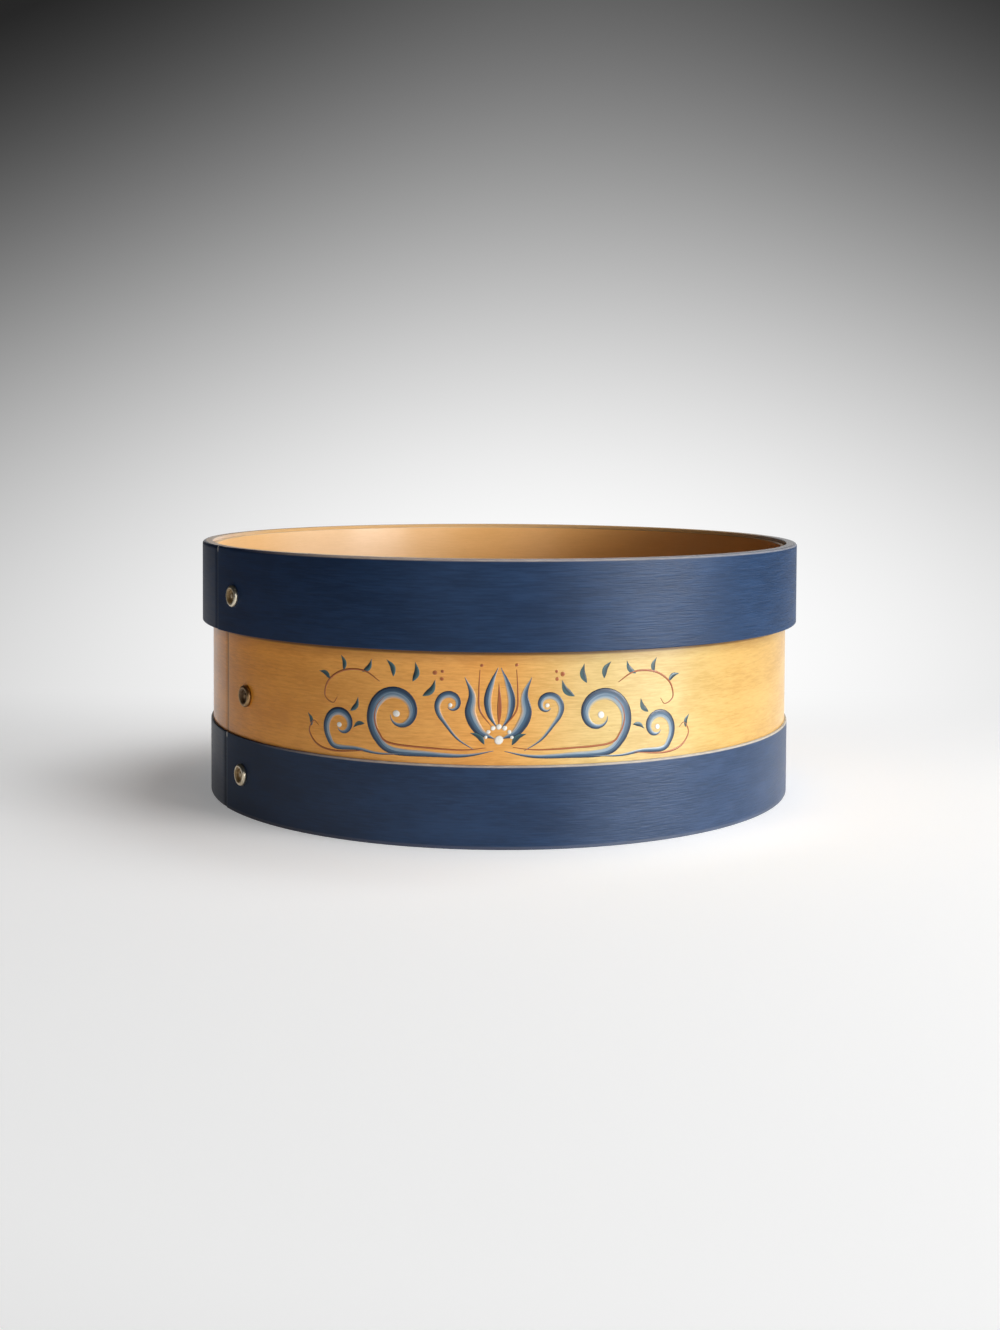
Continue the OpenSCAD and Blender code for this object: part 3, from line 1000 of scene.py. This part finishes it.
# Painted light: the floor glows close in front of the box, lifting the box's shade there.
PAINTED_GLOW_BY_BOX = 0.11
CONTACT = (122, 170)
CONTACT_SIDE = (-115, -50)
GLOW_LEVEL = 1.02
GLOW_SOURCE = (0.0, -0.667, 0.1425)
GLOW_MIDDLE = (0.045, -0.126)
GLOW_SPREAD = (0.46, 0.274)
GLOW_FLARE = 0.9


def backdrop_glow(nodes, direction):
    """Brightness of the pool of light behind the box, by the direction from the glow's source."""
    x, y, z = nodes.split(direction)
    wide = nodes.math("MULTIPLY_ADD", z, -GLOW_FLARE, GLOW_SPREAD[0])
    across = nodes.math("DIVIDE", nodes.math("SUBTRACT", x, GLOW_MIDDLE[0]), wide)
    up = nodes.math("MULTIPLY_ADD", z, 1 / GLOW_SPREAD[1], -GLOW_MIDDLE[1] / GLOW_SPREAD[1])
    spread = nodes.plus(nodes.times(across, across), nodes.times(up, up))
    glow = nodes.math("EXPONENT", nodes.times(spread, -1.0))
    return nodes.times(nodes.times(glow, GLOW_LEVEL), nodes.step(y, 0.0, 0.5))


def build_stage():
    """Pale floor with a painted glow close in front of the box that lifts its shade there, which turns into
    the backdrop's glow behind it.
    """
    points = [(0, 0, 0)]
    points += [polar(FLOOR_R, 2 * math.pi * side / FLOOR_SIDES, 0) for side in range(FLOOR_SIDES)]
    faces = [(0, 1 + side, 1 + (side + 1) % FLOOR_SIDES) for side in range(FLOOR_SIDES)]
    mesh = bpy.data.meshes.new("floor")
    mesh.from_pydata(points, [], faces)
    floor = bpy.data.objects.new("floor", mesh)
    bpy.context.scene.collection.objects.link(floor)
    finish = Finish("paper", Roughness=0.9, Specular_IOR_Level=0.1)
    x, y, z = finish.place()
    tooth = finish.noise((x, y, z), (0.6, 0.6, 0.6), detail=2)
    paper = finish.mix(tooth, PAPER_DARK, PAPER_LIGHT)
    off_x, off_y = [finish.math("SUBTRACT", part, off / MM) for part, off in zip((x, y), PAPER_MIDDLE)]
    outside = finish.step(finish.length(off_x, off_y), PAPER_R / MM, DARK_R / MM)
    # Painted light close in front of the box, where the box would shade the floor.
    beside = finish.times(finish.flip(finish.step(finish.length(x, y), *CONTACT)),
                          finish.flip(finish.step(y, *CONTACT_SIDE)))
    glow_here = finish.plus(finish.scale(outside, PAPER_GLOW, 0.0), finish.scale(beside, 0, PAINTED_GLOW_BY_BOX))
    finish.finish(Base_Color=finish.mix(outside, paper, FAR_FLOOR), Emission_Strength=glow_here)
    away = finish.add("ShaderNodeVectorMath", operation="SUBTRACT")
    finish.feed(away.inputs[0], finish.add("ShaderNodeTexCoord").outputs["Object"])
    away.inputs[1].default_value = GLOW_SOURCE
    direction = finish.add("ShaderNodeVectorMath", operation="NORMALIZE")
    finish.feed(direction.inputs[0], away.outputs[0])
    glow = finish.add("ShaderNodeEmission")
    finish.feed(glow.inputs["Strength"], backdrop_glow(finish, direction.outputs[0]))
    blend = finish.add("ShaderNodeMixShader")
    finish.feed(blend.inputs[0], finish.step(y, FADE_START / MM, FADE_END / MM))
    finish.feed(blend.inputs[1], finish.shader.outputs[0])
    finish.feed(blend.inputs[2], glow.outputs[0])
    finish.feed(finish.output.inputs["Surface"], blend.outputs[0])
    mesh.materials.append(finish.material)


def area_light(name, turn, elevation, size, watts):
    """Soft lamp of this width and height, turned to the right from the front, aimed at the box's middle."""
    lamp = bpy.data.lights.new(name, "AREA")
    lamp.shape = "RECTANGLE"
    lamp.size, lamp.size_y = size
    lamp.energy = watts
    rig = bpy.data.objects.new(name, lamp)
    bpy.context.scene.collection.objects.link(rig)
    way, rise = math.radians(turn), math.radians(elevation)
    towards = Vector((math.sin(way) * math.cos(rise), -math.cos(way) * math.cos(rise), math.sin(rise)))
    rig.location = Vector(LAMP_TARGET) + towards * LAMP_DISTANCE
    rig.rotation_euler = towards.to_track_quat("Z", "Y").to_euler()


def build_light():
    """Three lamps from the right, a weak one from the left, and a dim room with a pool of light behind."""
    area_light("front", turn=58, elevation=8, size=(0.75, 0.38), watts=20.5)
    area_light("middle", turn=32, elevation=6, size=(0.4, 0.28), watts=3)
    area_light("left", turn=-15, elevation=12, size=(0.6, 0.4), watts=1.7)
    area_light("key", turn=95, elevation=66, size=(1.0, 1.0), watts=13)
    world = bpy.data.worlds.new("room")
    bpy.context.scene.world = world
    world.use_nodes = True
    nodes = Nodes(world.node_tree)
    direction = nodes.add("ShaderNodeTexCoord").outputs["Generated"]
    room = nodes.add("ShaderNodeBackground")
    room.inputs["Color"].default_value = (1, 1, 1, 1)
    nodes.feed(room.inputs["Strength"], nodes.larger(backdrop_glow(nodes, direction), ROOM_LEVEL))
    nodes.feed(nodes.add("ShaderNodeOutputWorld").inputs["Surface"], room.outputs[0])


PHOTO_HEIGHT = 1330
FOCAL_PIXELS = 1560
AXIS_PIXEL_Y = 500.4
CAMERA_PLACE = (0.0, -0.667, RIM_HIGH + 39.5 * MM)
CAMERA_PITCH = math.radians(-2.0)
CAMERA_ROLL = 0.005
SENSOR = 36.0


def build_camera():
    """Camera fitted to the photo, close in front of the box and a little above its rim."""
    lens = bpy.data.cameras.new("camera")
    lens.sensor_width = SENSOR
    lens.lens = SENSOR * FOCAL_PIXELS / PHOTO_HEIGHT
    lens.shift_y = (AXIS_PIXEL_Y - PHOTO_HEIGHT / 2) / PHOTO_HEIGHT
    camera = bpy.data.objects.new("camera", lens)
    bpy.context.scene.collection.objects.link(camera)
    camera.location = CAMERA_PLACE
    tilt = Matrix.Rotation(math.pi / 2 + CAMERA_PITCH, 3, "X") @ Matrix.Rotation(CAMERA_ROLL, 3, "Z")
    camera.rotation_euler = tilt.to_euler()
    bpy.context.scene.camera = camera


build_camera()
build_stage()
build_light()
build_bands()
build_rivets()
build_ornament()
board_wood = planed_wood()
dress("base_board", board_wood)
dress("base_pegs", board_wood)
bpy.context.scene.view_settings.view_transform = "Standard"
